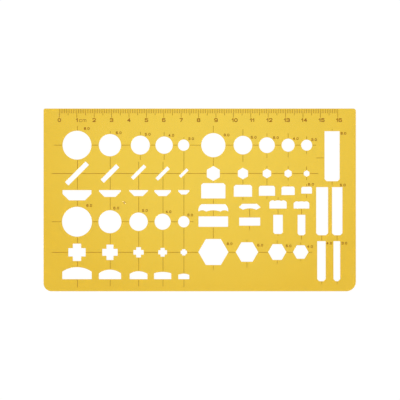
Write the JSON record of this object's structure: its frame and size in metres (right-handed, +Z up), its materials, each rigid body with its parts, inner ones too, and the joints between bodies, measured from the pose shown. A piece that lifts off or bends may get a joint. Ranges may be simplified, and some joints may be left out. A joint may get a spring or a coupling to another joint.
{
  "type": "screw and nut drawing template",
  "caption": "Flat clear amber plastic drawing template with screw, bolt and nut outlines cut through it, a printed centimetre scale, centre lines and plain size numbers.",
  "frame": {"origin": "middle of the flat underside", "axes": "+X along the sheet, from the scale's 0 to its 16; +Y across it, towards the edge with the scale; +Z up out of the printed face"},
  "size_m": [0.1794, 0.105, 0.0013],
  "materials": {
    "sheet_plastic": "clear amber, glossy, with fine handling scratches",
    "print_ink": "thin matt dark brown printing ink"
  },
  "bodies": {
    "root": {"template_sheet": "sheet_plastic", "millimetre_marks": "print_ink", "half_centimetre_marks": "print_ink", "centimetre_marks": "print_ink", "scale_numbers": "print_ink", "unit_mark": "print_ink", "row_lines": "print_ink", "column_lines": "print_ink", "round_head_sizes": "print_ink", "cap_head_sizes": "print_ink", "lens_head_sizes": "print_ink", "hexagon_sizes": "print_ink", "shank_sizes": "print_ink"}
  },
  "joints": []
}
